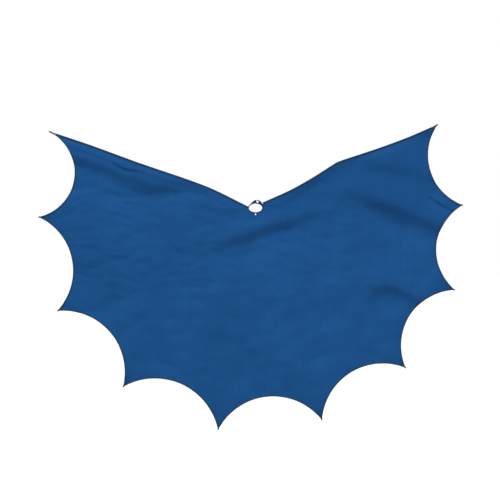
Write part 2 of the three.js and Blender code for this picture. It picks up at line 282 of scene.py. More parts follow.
# %% [markdown]
# Between the creases the cloth is never quite flat. Low waves fan out from the neck, short ripples run
# across the upper half where the wires pull on it, and lower down it is softly rumpled. It hangs a
# little behind its wires at both upper corners and on each side of the neck. The points of the hem
# curl: the far left one towards the viewer, the others away.

# %% Waves, ripples and rumples
FAN = 1.3 * MM
SWELL = 1.0 * MM
RIPPLES = 1.7 * MM
RUMPLES = 1.8 * MM
DENTS = 1.5 * MM
HEM_SWING = 2.0 * MM
WANDER = 16 * MM
CURL_REACH = 40 * MM
CURL = 8 * MM
CURLS_FORWARD = -0.98 * HALF_SPAN
WIRE_HOLD = 2 * MM
NECK_HOLD = 13 * MM
SAGS = [(-0.95, 0.22, 8), (-0.45, 0.3, 5), (0.22, 0.19, 4.5), (0.85, 0.1, 5)]
SAG_REACH = 40 * MM


def uneven(points, across_size, up_size, seed, basis="PERLIN_NEW", octaves=2):
    """Noise with features of the given sizes. A broader noise bends it, so it never runs straight."""
    heights = []
    for x, z in points:
        drift = noise.noise((x / (4 * WANDER), z / (4 * WANDER), seed + 9.3)) * WANDER
        spot = ((x + drift) / across_size, (z + drift) / up_size, seed)
        heights.append(noise.fractal(spot, 0.55, 2.1, octaves, noise_basis=basis))
    return np.array(heights)


def curl_height(points):
    """The curl of the hem points, steepest at the very point."""
    height = np.zeros(len(points))
    for corner in hem_corners[1:-1]:
        away = np.linalg.norm(points - np.array(corner), axis=1)
        forward = 1 if corner.x < CURLS_FORWARD else -1
        height += forward * CURL * np.clip(1 - away / CURL_REACH, 0, 1) ** 2
    return height


def wave_height(points):
    """Waves that fan out from the neck, ripples in the upper half and rumples in the lower one."""
    across, up = points[:, 0] / HALF_SPAN, points[:, 1] / DROP
    angle = np.arctan2(points[:, 0], 0.12 - points[:, 1])
    reach = np.hypot(points[:, 0], points[:, 1]) / DROP
    height = FAN * np.sin(9 * angle + 0.6) * eased(reach)
    height += SWELL * np.sin(7.3 * across + 4.1 * up + 1.0) * np.sin(5.2 * up - 2.3 * across)
    upper = np.exp(-(((up + 0.12) / 0.34) ** 2)) * eased(0.75 - 0.5 * across)
    height += RIPPLES * upper * uneven(points, 42 * MM, 17 * MM, 3.7)
    rumpled = eased(0.1 - up * 2.0)
    height += RUMPLES * rumpled * uneven(points, 48 * MM, 38 * MM, 8.1)
    height -= DENTS * rumpled * uneven(points, 42 * MM, 38 * MM, 2.6, "VORONOI_F1", 1)
    height -= HEM_SWING * np.clip(-up - 0.15, 0, 1) ** 2
    return height


top_line = left_line[::-1] + right_line


def fold_height(points):
    """How far the cloth stands towards the viewer at each (x, z). Its wires and neck hold it flat."""
    from_wire = distance_to_line(points, top_line)[0]
    free = eased((from_wire - WIRE_HOLD) / (26 * MM))
    near_free = eased((from_wire - WIRE_HOLD) / (9 * MM))
    across = points[:, 0] / HALF_SPAN
    sag = sum(
        depth * MM * np.exp(-(((across - centre) / reach) ** 2)) for centre, reach, depth in SAGS
    )
    sag *= np.exp(-((from_wire / SAG_REACH) ** 2)) * eased((from_wire - WIRE_HOLD / 2) / (15 * MM))
    held = (crease_height(points) + curl_height(points)) * near_free - sag
    from_neck = np.hypot(points[:, 0], points[:, 1])
    return (wave_height(points) * free + held) * eased((from_neck - NECK_HOLD) / (20 * MM))


# %% [markdown]
# ## The flat cloth as a mesh
#
# Cloth wants even, small faces that end exactly on the cut. A square grid is laid inside the outline,
# the outline's own points are added, and a constrained Delaunay triangulation joins them. Rows of
# closer points follow the three sharp creases. The cloth stops just inside each top edge, where the
# turned-over hem and its wire take over, and runs to the middle of the binding round the neck.

# %% Neck sizes, and the outline of the flat cloth
binding_low, binding_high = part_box("neck_binding")
BINDING_WIDTH = 1.6 * MM
OPENING_WIDTH = (binding_high.x - binding_low.x) - 2 * BINDING_WIDTH
OPENING_HEIGHT = -2 * binding_low.z - 2 * BINDING_WIDTH
HEM_INSET = 1.9 * MM
CLOTH_AT_NECK = (168, 392)


def moved_in(line, distance, cloth_side):
    """The line moved sideways into the cloth, which is on its left (1) or its right (-1)."""
    moved = []
    for k, point in enumerate(line):
        way = (line[min(k + 1, len(line) - 1)] - line[max(k - 1, 0)]).normalized()
        moved.append(point + Vector((-way.y, way.x)) * cloth_side * distance)
    return moved


def joined(first, second):
    """Two lines made one: the first up to where they cross, then the second from there on."""
    for i in range(len(first) - 1, 0, -1):
        for j in range(len(second) - 1):
            cross = intersect_line_line_2d(first[i - 1], first[i], second[j], second[j + 1])
            if cross:
                return first[:i] + [cross] + second[j + 1:]
    return first + second


neck_width = OPENING_WIDTH + BINDING_WIDTH
neck_height = OPENING_HEIGHT + BINDING_WIDTH
neck_arc = ellipse_arc(neck_width, neck_height, *CLOTH_AT_NECK, 60)
right_inset = moved_in(right_line, HEM_INSET, -1)
left_inset = moved_in(left_line, HEM_INSET, 1)
right_side = joined(hem_line[len(hem_line) // 2:], right_inset[::-1])
left_side = joined(left_inset, hem_line[:len(hem_line) // 2])
throat_corner = Vector((OPENING_WIDTH / 2 + 0.4 * MM, OPENING_HEIGHT / 2))
cloth_outline = right_side[:-1] + [throat_corner] + neck_arc[::-1] + left_side[1:]
print("outline points:", len(cloth_outline))

# %% Fill the outline with small faces
OUTER_SEAM = 92.5 * MM
SEAMS = (-OUTER_SEAM, 0.0, OUTER_SEAM)
GRID = OUTER_SEAM / 38
CLEAR_OF_EDGE = 0.62
CREASE_STEP = 1.2 * MM
CREASE_ROWS = (-3.2, -1.9, -1.1, -0.5, 0, 0.5, 1.1, 1.9, 3.2)
CLEAR_OF_ROWS = 1.4 * MM


def crossings(outline, across):
    """The heights at which the outline crosses an upright line."""
    found = []
    for a, b in zip(outline, outline[1:] + outline[:1]):
        if (a.x <= across) != (b.x <= across):
            found.append(a.y + (b.y - a.y) * (across - a.x) / (b.x - a.x))
    return sorted(found)


def tree_of(points):
    """A search tree of pattern points, for the distance to the nearest of them."""
    tree = KDTree(len(points))
    for k, point in enumerate(points):
        tree.insert((point.x, point.y, 0), k)
    tree.balance()
    return tree


def gap_to(tree, point):
    return tree.find((point.x, point.y, 0))[2]


def points_inside(outline, spacing):
    """Grid points inside the outline and well clear of it."""
    near = tree_of(outline)
    first, last = min(p.x for p in outline), max(p.x for p in outline)
    inside = []
    for column in range(math.ceil(first / spacing), math.ceil(last / spacing)):
        across = column * spacing
        heights = crossings(outline, across + 1e-7)
        for bottom, top in zip(heights[::2], heights[1::2]):
            for row in range(math.ceil(bottom / spacing), int(top // spacing) + 1):
                point = Vector((across, row * spacing))
                if gap_to(near, point) > spacing * CLEAR_OF_EDGE:
                    inside.append(point)
    return inside


def crease_points(outline):
    """Close rows of points along the sharp creases, clear of the outline."""
    rows = []
    for drop, half_width, first, last, shares in CREASES:
        if half_width < SHARP_BELOW:
            line = chalk_line(shares, CREASE_STEP)
            for offset in CREASE_ROWS:
                rows += moved_in(line, offset * MM, 1)
    return [p for p in rows if min((p - q).length for q in outline) > CREASE_STEP]


def flat_mesh(outline, spacing):
    """Vertices as (x, z) and triangles that fill the outline."""
    close = crease_points(outline)
    near = tree_of(close)
    grid = [p for p in points_inside(outline, spacing) if gap_to(near, p) > CLEAR_OF_ROWS]
    points = outline + grid + close
    ring = [(k, (k + 1) % len(outline)) for k in range(len(outline))]
    found = delaunay_2d_cdt(points, ring, [], 1, 1e-7)
    return np.array([tuple(point) for point in found[0]]), [tuple(face) for face in found[2]]


flat_points, flat_faces = flat_mesh(cloth_outline, GRID)
print("cloth vertices:", len(flat_points), "faces:", len(flat_faces))

# %% Fold the cloth
fold = fold_height(flat_points)
cloth_points = np.column_stack((flat_points[:, 0], -fold, flat_points[:, 1]))
print("folds stand from", round(fold.min() / MM, 1), "to", round(fold.max() / MM, 1), "mm")

# %% [markdown]
# ## Finding a place on the folded cloth
#
# Everything sewn on the cape has to follow its folds. A ray sent straight through the flat pattern
# finds the triangle it crosses, and the same place on the folded triangle is where the stitch goes.

# %% From the flat pattern to the folded cloth
flat_tree = BVHTree.FromPolygons([(x, 0, z) for x, z in flat_points], flat_faces)
flat_space = [Vector((x, 0, z)) for x, z in flat_points]
folded_space = [Vector(point) for point in cloth_points]


def on_cloth(point):
    """Where a pattern point (x, z) lies on the folded cloth, and which way the outside faces there."""
    hit, _, index, _ = flat_tree.find_nearest((point[0], 0, point[1]))
    a, b, c = flat_faces[index]
    flat = [flat_space[a], flat_space[b], flat_space[c]]
    folded = [folded_space[a], folded_space[b], folded_space[c]]
    spot = barycentric_transform(hit, *flat, *folded)
    spot += Vector((point[0] - hit.x, 0, point[1] - hit.z))
    outward = (folded[1] - folded[0]).cross(folded[2] - folded[0]).normalized()
    return spot, -outward if outward.y > 0 else outward


# %% [markdown]
# ## The cloth as four pieces
#
# The wings swing at four upright lines. A piece can bend between two neighbouring bodies only, so the
# one cut is shared out at the middle and half-way along each wing, where the cloth on both sides moves
# with the same body and the pieces stay edge to edge. Each piece is a closed shell as thick as thin
# cloth. Its normals come from the whole cloth, which hides the joins.

# %% Share-out: where each part begins and ends
FAR = 9.0  # metres, past both ends of the cape
PARTS = {
    "left_outer": (-FAR, SEAMS[0]),
    "left_inner": (SEAMS[0], SEAMS[1]),
    "right_inner": (SEAMS[1], SEAMS[2]),
    "right_outer": (SEAMS[2], FAR),
}


def bend_with_cape(piece):
    """Bakes the piece's placement into its mesh."""
    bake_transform(piece)


def new_object(name, mesh, material):
    piece = bpy.data.objects.new(name, mesh)
    bpy.context.scene.collection.objects.link(piece)
    mesh.materials.append(material)
    return piece


def mesh_from(name, points, faces):
    mesh = bpy.data.meshes.new(name)
    mesh.from_pydata([tuple(point) for point in points], [], [tuple(face) for face in faces])
    mesh.shade_smooth()
    return mesh


def add_pattern(mesh, places):
    """Marks where each vertex lies on the flat pattern. Returns each face corner's vertex."""
    corners = np.zeros(len(mesh.loops), int)
    mesh.loops.foreach_get("vertex_index", corners)
    uv = mesh.uv_layers.new(name="pattern")
    uv.data.foreach_set("uv", places[corners].astype(np.float32).ravel())
    return corners


def seen_flat(mesh):
    """Each vertex's (x, z), for a mesh that is marked as it is seen from the front."""
    return np.array([(vertex.co.x, vertex.co.z) for vertex in mesh.vertices])


# %% [markdown]
# ## Finishes
#
# Every finish is built from nodes. The cloth is a close plain weave, so its threads are drawn in the
# pattern's own coordinates: two crossed waves for the threads, long thin noise for uneven yarn, faint
# upright ribs, and broad noise for the way dyed cloth is never one flat blue.

# %% Small helpers that add nodes and link them
def add_node(tree, kind, inputs=(), **settings):
    node = tree.nodes.new(kind)
    for key, value in settings.items():
        setattr(node, key, value)
    for socket, value in dict(inputs).items():
        if isinstance(value, bpy.types.NodeSocket):
            tree.links.new(value, node.inputs[socket])
        else:
            node.inputs[socket].default_value = value
    return node


def new_material(name, roughness, metallic=0.0, specular=0.5, sheen=0.0):
    material = bpy.data.materials.new(name)
    material.use_nodes = True
    tree = material.node_tree
    shader = tree.nodes["Principled BSDF"]
    shader.inputs["Roughness"].default_value = roughness
    shader.inputs["Metallic"].default_value = metallic
    shader.inputs["Specular IOR Level"].default_value = specular
    shader.inputs["Sheen Weight"].default_value = sheen
    return material, tree, shader


def noise_in(tree, place, scale, detail, roughness):
    return add_node(tree, "ShaderNodeTexNoise",
                    {"Vector": place, "Scale": scale, "Detail": detail, "Roughness": roughness})


def mixed(tree, share, one, two):
    """One value with a share of another in it."""
    return add_node(tree, "ShaderNodeMix", {0: share, 2: one, 3: two}, data_type="FLOAT").outputs[0]


def bumped(tree, height, strength, distance, over=None):
    """A raised surface, on top of a coarser or finer one if that is given."""
    sockets = {"Height": height, "Strength": strength, "Distance": distance}
    if over:
        sockets["Normal"] = over
    return add_node(tree, "ShaderNodeBump", sockets).outputs[0]


def coloured(tree, shader, factor, stops):
    """Gives the shader colours from dark to light, each at its place between 0 and 1."""
    ramp = add_node(tree, "ShaderNodeValToRGB", {0: factor})
    elements = ramp.color_ramp.elements
    elements[0].position = stops[0][0]
    elements[1].position = stops[-1][0]
    for position, colour in stops[1:-1]:
        elements.new(position)
    for element, (position, colour) in zip(elements, stops):
        element.color = (*colour, 1)
    tree.links.new(ramp.outputs[0], shader.inputs["Base Color"])


# %% The cloth
RIB_PITCH = 3.4 * MM
THREAD_PITCH = 0.62 * MM
WAVE_TURN = 20  # radians that a wave texture turns in a metre, at scale 1


def cloth_material(name, deep, middle, light):
    """A weave in three shades, from the darkest yarn to the lightest."""
    material, tree, shader = new_material(name, 0.75, specular=0.05, sheen=0.02)
    shader.inputs["Sheen Roughness"].default_value = 0.45
    shader.inputs["Sheen Tint"].default_value = (0.45, 0.62, 0.9, 1)
    pattern = add_node(tree, "ShaderNodeUVMap", uv_map="pattern").outputs[0]

    streaks = add_node(tree, "ShaderNodeMapping", {"Vector": pattern, "Scale": (260, 9, 1)})
    yarn = noise_in(tree, streaks.outputs[0], 1.0, 4.0, 0.6)
    clouds = noise_in(tree, pattern, 11.0, 6.0, 0.62)
    patches = noise_in(tree, pattern, 3.2, 2.0, 0.5)
    ribs = add_node(tree, "ShaderNodeTexWave",
                    {"Vector": pattern, "Scale": 2 * math.pi / WAVE_TURN / RIB_PITCH, "Distortion": 3.0,
                     "Detail": 1.0, "Detail Scale": 0.05}, bands_direction="X")
    shade = mixed(tree, 0.30, clouds.outputs[0], yarn.outputs[0])
    shade = mixed(tree, 0.30, shade, patches.outputs[0])
    shade = mixed(tree, 0.12, shade, ribs.outputs["Fac"])
    coloured(tree, shader, shade, [(0.30, deep), (0.5, middle), (0.70, light)])

    turns = 2 * math.pi / THREAD_PITCH
    threads = add_node(tree, "ShaderNodeMapping", {"Vector": pattern, "Scale": (turns, turns, 1)})
    split = add_node(tree, "ShaderNodeSeparateXYZ", {0: threads.outputs[0]})
    warp = add_node(tree, "ShaderNodeMath", {0: split.outputs[0]}, operation="SINE")
    weft = add_node(tree, "ShaderNodeMath", {0: split.outputs[1]}, operation="SINE")
    weave = add_node(tree, "ShaderNodeMath", {0: warp.outputs[0], 1: weft.outputs[0]},
                     operation="MULTIPLY")
    fine = bumped(tree, weave.outputs[0], 0.5, 0.05 * MM)
    slubs = bumped(tree, yarn.outputs[0], 0.35, 0.4 * MM, over=fine)
    crumple = bumped(tree, clouds.outputs[0], 0.35, 3.0 * MM, over=slubs)
    tree.links.new(crumple, shader.inputs["Normal"])
    return material


# %% Thread, wire, sleeve and plated metal
def thread_material(name, dark, light):
    """Plied thread, with a little fuzz."""
    material, tree, shader = new_material(name, 0.65, specular=0.12, sheen=0.03)
    shader.inputs["Sheen Roughness"].default_value = 0.4
    place_in = add_node(tree, "ShaderNodeTexCoord").outputs["Object"]
    fibres = noise_in(tree, place_in, 900.0, 3.0, 0.6)
    coloured(tree, shader, fibres.outputs[0], [(0.3, dark), (0.7, light)])
    plies = add_node(tree, "ShaderNodeTexWave",
                     {"Vector": place_in, "Scale": 700.0, "Distortion": 1.5}, bands_direction="DIAGONAL")
    tree.links.new(bumped(tree, plies.outputs["Fac"], 0.5, 0.08 * MM), shader.inputs["Normal"])
    return material


def metal_material(name, dark, light, roughness):
    """Metal with fine wear, which is smoother where it is darker."""
    material, tree, shader = new_material(name, roughness, metallic=1.0)
    place_in = add_node(tree, "ShaderNodeTexCoord").outputs["Object"]
    wear = noise_in(tree, place_in, 1600.0, 4.0, 0.65)
    coloured(tree, shader, wear.outputs[0], [(0.35, dark), (0.65, light)])
    rub = add_node(tree, "ShaderNodeMapRange",
                   {0: wear.outputs[0], 3: roughness * 0.7, 4: roughness * 1.4})
    tree.links.new(rub.outputs[0], shader.inputs["Roughness"])
    tree.links.new(bumped(tree, wear.outputs[0], 0.25, 0.05 * MM), shader.inputs["Normal"])
    return material


def sleeve_material(name, dark, light):
    """Matt plastic with a faint grain."""
    material, tree, shader = new_material(name, 0.5, specular=0.4)
    place_in = add_node(tree, "ShaderNodeTexCoord").outputs["Object"]
    grain = noise_in(tree, place_in, 1200.0, 4.0, 0.6)
    coloured(tree, shader, grain.outputs[0], [(0, dark), (1, light)])
    tree.links.new(bumped(tree, grain.outputs[0], 0.4, 0.06 * MM), shader.inputs["Normal"])
    return material


blue_cloth = cloth_material("blue cloth", (0.0048, 0.0425, 0.135), (0.0062, 0.0535, 0.168),
                            (0.0085, 0.066, 0.200))
tab_cloth = cloth_material("tab cloth", (0.005, 0.020, 0.050), (0.008, 0.030, 0.070),
                           (0.013, 0.042, 0.090))
navy_thread = thread_material("navy thread", (0.005, 0.020, 0.050), (0.011, 0.040, 0.092))
blue_thread = thread_material("blue thread", (0.010, 0.045, 0.140), (0.016, 0.070, 0.200))
bare_wire = metal_material("bare wire", (0.30, 0.31, 0.33), (0.52, 0.53, 0.55), 0.35)
nickel = metal_material("nickel plate", (0.68, 0.70, 0.73), (0.88, 0.90, 0.93), 0.34)
black_sleeve = sleeve_material("black sleeve", (0.004, 0.005, 0.006), (0.022, 0.024, 0.028))
print("finishes:", [material.name for material in bpy.data.materials])

# %% The four cloth pieces
CLOTH_THICKNESS = 0.35 * MM


def whole_normals(points, faces):
    """One normal for each vertex of the whole cloth, pointing out of its outside face."""
    a, b, c = (points[[face[k] for face in faces]] for k in range(3))
    face_normals = np.cross(b - a, c - a)
    normals = np.zeros_like(points)
    for k in range(3):
        np.add.at(normals, [face[k] for face in faces], face_normals)
    normals /= np.maximum(np.linalg.norm(normals, axis=1), TINY)[:, None]
    return -normals if normals[:, 1].mean() > 0 else normals


def cut_at(seam, edge, points, made):
    """The vertex where an edge crosses a seam, which the edge's other triangle shares."""
    key = (min(edge), max(edge))
    if key not in made:
        (ax, az), (bx, bz) = points[key[0]], points[key[1]]
        points.append((seam, az + (bz - az) * (seam - ax) / (bx - ax)))
        made[key] = len(points) - 1
    return made[key]


def split_at_seams(points, faces):
    """Cuts the triangles that cross a seam, so that each lies on one side of it."""
    points, faces = list(map(tuple, points)), list(faces)
    for seam in SEAMS:
        made, kept = {}, []
        side = [0 if abs(x - seam) < 1e-7 else (1 if x > seam else -1) for x, z in points]
        for face in faces:
            sides = [side[k] for k in face]
            if min(sides) >= 0 or max(sides) <= 0:
                kept.append(face)
                continue
            ring = []
            for k in range(3):
                a, b = face[k], face[(k + 1) % 3]
                ring.append(a)
                if side[a] * side[b] < 0:
                    ring.append(cut_at(seam, (a, b), points, made))
            side += [0] * (len(points) - len(side))
            for wanted in (-1, 1):
                half = [k for k in ring if side[k] * wanted >= 0]
                kept += [(half[0], half[k], half[k + 1]) for k in range(1, len(half) - 1)]
        faces = kept
    return np.array(points), faces


def flat_size(flat, faces, used):
    """How wide, how high and how large the flat pattern of some faces is."""
    triangle = flat[np.array(faces)]
    one, two = triangle[:, 1] - triangle[:, 0], triangle[:, 2] - triangle[:, 0]
    area = float(np.abs(one[:, 0] * two[:, 1] - one[:, 1] * two[:, 0]).sum() / 2)
    return flat[used].max(axis=0) - flat[used].min(axis=0), area


def cloth_piece(part, points, flat, normals, faces):
    """A closed shell of the part's faces, with the whole cloth's normals and its flat pattern."""
    first, last = PARTS[part]
    middle = flat[:, 0][np.array(faces)].mean(axis=1)
    mine = [face for face, x in zip(faces, middle) if first < x < last]
    used = sorted({k for face in mine for k in face})
    new = {old: k for k, old in enumerate(used)}
    count = len(used)
    outside = points[used] + normals[used] * CLOTH_THICKNESS / 2
    inside = points[used] - normals[used] * CLOTH_THICKNESS / 2
    shell = np.vstack((outside, inside))
    front = [tuple(new[k] for k in face) for face in mine]
    a, b, c = (outside[list(front[0])][k] for k in range(3))
    if np.cross(b - a, c - a) @ normals[used[front[0][0]]] < 0:
        front = [face[::-1] for face in front]
    back = [tuple(k + count for k in face[::-1]) for face in front]
    edges = {(face[k], face[(k + 1) % 3]) for face in front for k in range(3)}
    rim = sorted((b, a, a + count, b + count) for a, b in edges if (b, a) not in edges)
    mesh = mesh_from("cloth_" + part, shell, front + back + rim)
    corners = add_pattern(mesh, np.vstack((flat[used], flat[used])))
    corner_normals = np.vstack((normals[used], -normals[used]))[corners]
    rim_start = 3 * len(front + back)
    for k, (a, b, c, d) in enumerate(rim):
        side = np.cross(shell[b] - shell[a], normals[used[a]])
        corner_normals[rim_start + 4 * k:rim_start + 4 * k + 4] = side / np.linalg.norm(side)
    mesh.normals_split_custom_set(corner_normals)
    return new_object("cloth_" + part, mesh, blue_cloth), *flat_size(flat, mine, used)


seamed_flat, seamed_faces = split_at_seams(flat_points, flat_faces)
seamed_points = np.array([tuple(on_cloth(point)[0]) for point in seamed_flat])
seamed_normals = whole_normals(seamed_points, seamed_faces)
cloth = {}
for part in PARTS:
    cloth[part] = cloth_piece(part, seamed_points, seamed_flat, seamed_normals, seamed_faces)
    piece, size, area = cloth[part]
    print(piece.name, "flat size in mm:", [round(x / MM) for x in size], "area in m2:", round(area, 4))

# %% [markdown]
# ## Things that run along an edge
#
# A tube or a turned hem is a small outline carried along a line. At each step the line's direction,
# the cloth's outward normal and the direction into the cloth make a little set of axes, and the
# outline is drawn in them. The lines are cut at the same seams as the cloth.

# %% Carry an outline along a line
def facing_out(mesh):
    """Turns the faces of a closed mesh so that they all face out."""
    start = mesh.vertices[0].co
    volume = sum(face.area * face.normal.dot(face.center - start) for face in mesh.polygons)
    if volume < 0:
        mesh.flip_normals()
    return mesh


def axes_along(line, outward):
    """Direction, outward and sideways vectors at each point of a line."""
    found = []
    for k in range(len(line)):
        way = (line[min(k + 1, len(line) - 1)] - line[max(k - 1, 0)]).normalized()
        out = (outward[k] - way * outward[k].dot(way)).normalized()
        found.append((way, out, way.cross(out)))
    return found


def swept(name, line, outward, outline):
    """A closed solid: an outline of (sideways, outward) points carried along a line."""
    points = []
    for at, (way, out, side) in zip(line, axes_along(line, outward)):
        points += [at + side * s + out * o for s, o in outline]
    return closed_run(name, points, len(outline))


def closed_run(name, points, count):
    """Skins rings of points, count in each, and closes both ends."""
    faces = []
    for k in range(len(points) // count - 1):
        for j in range(count):
            a, b = k * count + j, k * count + (j + 1) % count
            faces.append((a, b, b + count, a + count))
    faces.append(tuple(range(count))[::-1])
    faces.append(tuple(range(len(points) - count, len(points))))
    return facing_out(mesh_from(name, points, faces))


def circle_outline(radius, sides):
    turns = [2 * math.pi * k / sides for k in range(sides)]
    return [(radius * math.cos(turn), radius * math.sin(turn)) for turn in turns]


def part_of_line(line, part):
    """The stretch of a pattern line that lies in a part, with points exactly on its seams."""
    first, last = PARTS[part]
    kept = []
    for a, b in zip(line, line[1:]):
        inside = [first <= point.x <= last for point in (a, b)]
        if inside[0] and not kept:
            kept.append(a)
        for seam in (first, last):
            if seam in SEAMS and (a.x - seam) * (b.x - seam) < 0:
                kept.append(a + (b - a) * (seam - a.x) / (b.x - a.x))
        if inside[1]:
            kept.append(b)
    return kept


def laid(line):
    """A pattern line on the folded cloth: its points, and the outward normal at each."""
    found = [on_cloth(point) for point in line]
    return [point for point, out in found], [out for point, out in found]


# %% [markdown]
# ## The turned-over top edges and their wires
#
# Each top edge is turned to the inside over a soft wire and sewn down. From outside it shows as a thin
# ridge along the edge and two rows of stitches, and from inside as a narrow strip. The strip is one
# outline that wraps round the wire and lies against the cloth.

# %% Hems and wires
WIRE_INSET = 1.4 * MM
WIRE_RADIUS = 0.5 * MM
CAP_LENGTH = 11 * MM
HEM_START = -2.2 * MM
HEM_TO_CAP = 0.2 * MM
WIRE_START = 3 * MM
WIRE_IN_CAP = 4 * MM
CHANNEL = 3.0 * MM
STRIP = 9.0 * MM
CLEAR_OF_CORNER = 1.2 * MM
LEAST_ROOM = 0.05
HEM_OUTLINE = [
    (2.9, 0.12), (2.3, 0.48), (1.7, 0.74), (1.2, 0.80), (0.6, 0.68), (0.24, 0.38), (0.16, 0),
    (0.24, -0.45), (0.6, -0.9), (1.2, -1.1), (1.9, -1.0), (2.6, -0.72), (3.4, -0.58), (6.2, -0.52),
    (8.9, -0.52), (9.05, -0.4), (8.9, -0.24), (6.2, -0.24), (3.3, -0.28), (2.5, -0.42), (1.9, -0.7),
    (1.2, -0.82), (0.75, -0.66), (0.45, -0.3), (0.42, 0), (0.5, 0.24), (0.8, 0.44), (1.2, 0.54),
    (1.7, 0.48), (2.2, 0.28), (2.5, 0.0),
]
EDGES = {"left": (left_line, 1), "right": (right_line, -1)}


def line_length(line):
    return sum((b - a).length for a, b in zip(line, line[1:]))


def along(line, start, end=FAR):
    """The stretch of a pattern line between two distances from its first point."""
    kept, gone = [], 0.0
    if start < 0:
        kept.append(line[0] + (line[0] - line[1]).normalized() * -start)
        kept.append(line[0])
    for a, b in zip(line, line[1:]):
        step = (b - a).length
        for mark in (start, end):
            if gone < mark < gone + step:
                kept.append(a + (b - a) * (mark - gone) / step)
        gone += step
        if start < gone < end:
            kept.append(b)
    return kept


hem_tree = tree_of(hem_line)


def room_at(point):
    """How much of the strip's width there is room for, from 0 to 1: less near a wing corner."""
    room = gap_to(hem_tree, point) - CLEAR_OF_CORNER
    return min(1.0, max(LEAST_ROOM, (room - CHANNEL) / (STRIP - CHANNEL)))


def turned_hem(name, line, cloth_side):
    """The strip and its channel, laid on the cloth point by point so that it follows the folds."""
    points = []
    for at, inward in zip(line, moved_in(line, 1.0, cloth_side)):
        room = room_at(at)
        for s, o in HEM_OUTLINE:
            reach = s * MM
            if reach > CHANNEL:
                reach = CHANNEL + (reach - CHANNEL) * room
            spot, out = on_cloth(at + (inward - at) * reach)
            points.append(spot + out * o * MM)
    return closed_run(name, points, len(HEM_OUTLINE))


hems = {}
for side, (edge, cloth_side) in EDGES.items():
    length = line_length(edge)
    hem_stretch = along(edge, HEM_START, length - CAP_LENGTH - HEM_TO_CAP)
    wire_line = moved_in(along(edge, WIRE_START, length - WIRE_IN_CAP), WIRE_INSET, cloth_side)
    for part in (side + "_inner", side + "_outer"):
        flat_line = part_of_line(hem_stretch, part)
        mesh = turned_hem("hem_" + part, flat_line, cloth_side)
        add_pattern(mesh, seen_flat(mesh))
        hems[part] = new_object("hem_" + part, mesh, blue_cloth)
        line, outward = laid(part_of_line(wire_line, part))
        mesh = swept("wire_" + part, line, outward, circle_outline(WIRE_RADIUS, 12))
        hems["wire_" + part] = new_object("wire_" + part, mesh, bare_wire)
print("hems and wires:", sorted(hems))

# %% [markdown]
# ## Stitches and the rolled edge, with Geometry Nodes
#
# A row of stitches is one little loop of thread repeated at an even pitch, and the rolled edge round
# the scallops is thread wound over a thin roll of cloth. Both follow a line, so each is a node tree
# with named sizes. The line is an edge chain with the cloth's outward normal kept on its points.

# %% Node tree helpers
def new_tree(name, sizes):
    tree = bpy.data.node_groups.new(name, "GeometryNodeTree")
    tree.interface.new_socket("Line", in_out="INPUT", socket_type="NodeSocketGeometry")
    for label, value in sizes.items():
        kind = "NodeSocketInt" if isinstance(value, int) else "NodeSocketFloat"
        tree.interface.new_socket(label, in_out="INPUT", socket_type=kind).default_value = value
    tree.interface.new_socket("Finish", in_out="INPUT", socket_type="NodeSocketMaterial")
    tree.interface.new_socket("Sewing", in_out="OUTPUT", socket_type="NodeSocketGeometry")
    return tree, add_node(tree, "NodeGroupInput").outputs


def even_points(tree, line, pitch):
    """The line as a curve with points a pitch apart, and the rotation that lays a piece along it."""
    curve = add_node(tree, "GeometryNodeMeshToCurve", {"Mesh": line}).outputs[0]
    even = add_node(tree, "GeometryNodeResampleCurve", {"Curve": curve, "Length": pitch}, mode="LENGTH")
    tangent = add_node(tree, "GeometryNodeInputTangent").outputs[0]
    outward = add_node(tree, "GeometryNodeInputNamedAttribute", {"Name": "outward"},
                       data_type="FLOAT_VECTOR").outputs[0]
    lie = add_node(tree, "FunctionNodeAlignRotationToVector", {"Vector": tangent}, axis="X")
    face = add_node(tree, "FunctionNodeAlignRotationToVector",
                    {"Rotation": lie.outputs[0], "Vector": outward}, axis="Z", pivot_axis="X")
    return even.outputs[0], face.outputs[0]


def finish_tree(tree, geometry, material):
    real = add_node(tree, "GeometryNodeRealizeInstances", {"Geometry": geometry})
    painted = add_node(tree, "GeometryNodeSetMaterial",
                       {"Geometry": real.outputs[0], "Material": material})
    smooth = add_node(tree, "GeometryNodeSetShadeSmooth", {"Geometry": painted.outputs[0]})
    add_node(tree, "NodeGroupOutput", {0: smooth.outputs[0]})


def round_section(tree, radius, sides):
    return add_node(tree, "GeometryNodeCurvePrimitiveCircle",
                    {"Resolution": sides, "Radius": radius}).outputs[0]


